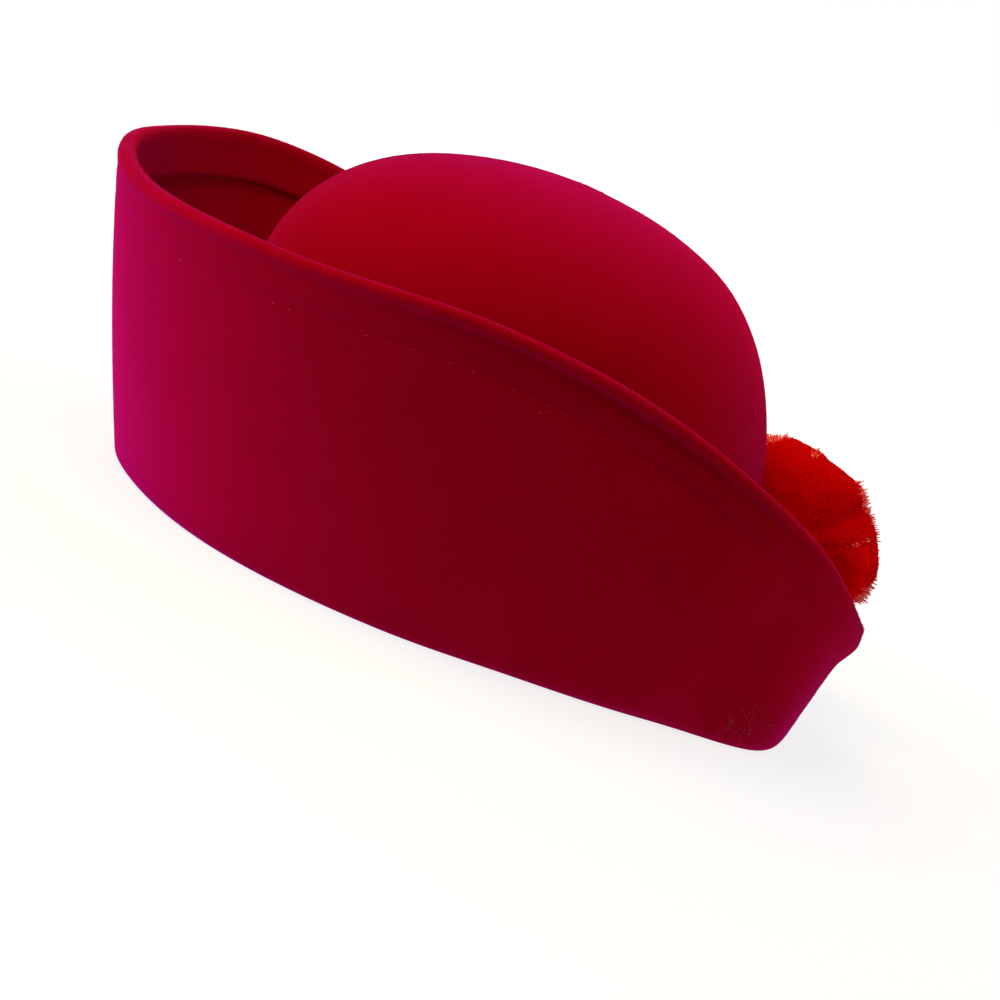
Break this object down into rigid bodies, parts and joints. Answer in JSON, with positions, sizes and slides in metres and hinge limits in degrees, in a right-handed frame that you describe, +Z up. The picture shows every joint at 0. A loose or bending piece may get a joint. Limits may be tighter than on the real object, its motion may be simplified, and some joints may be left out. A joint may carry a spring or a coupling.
{
  "type": "felt hat with derby crown and turned-up brim",
  "caption": "Red felt hat with a round dome crown, a deep brim turned up all round as a flaring cuff, taller in front, and a round clipped pompom at the back.",
  "frame": {"origin": "on the surface that the hat rests on, under the middle of its bounding box", "axes": "+Z up through the crown, -Y to the front of the hat, +X to the wearer's left"},
  "size_m": [0.2602, 0.334, 0.155],
  "materials": {
    "felt": "blocked wool felt, matt with a short soft nap",
    "pompom_pile": "clipped dense pile with frayed pale ends"
  },
  "bodies": {
    "root": {"crown": "felt", "brim": "felt", "pompom": "pompom_pile"}
  },
  "joints": []
}
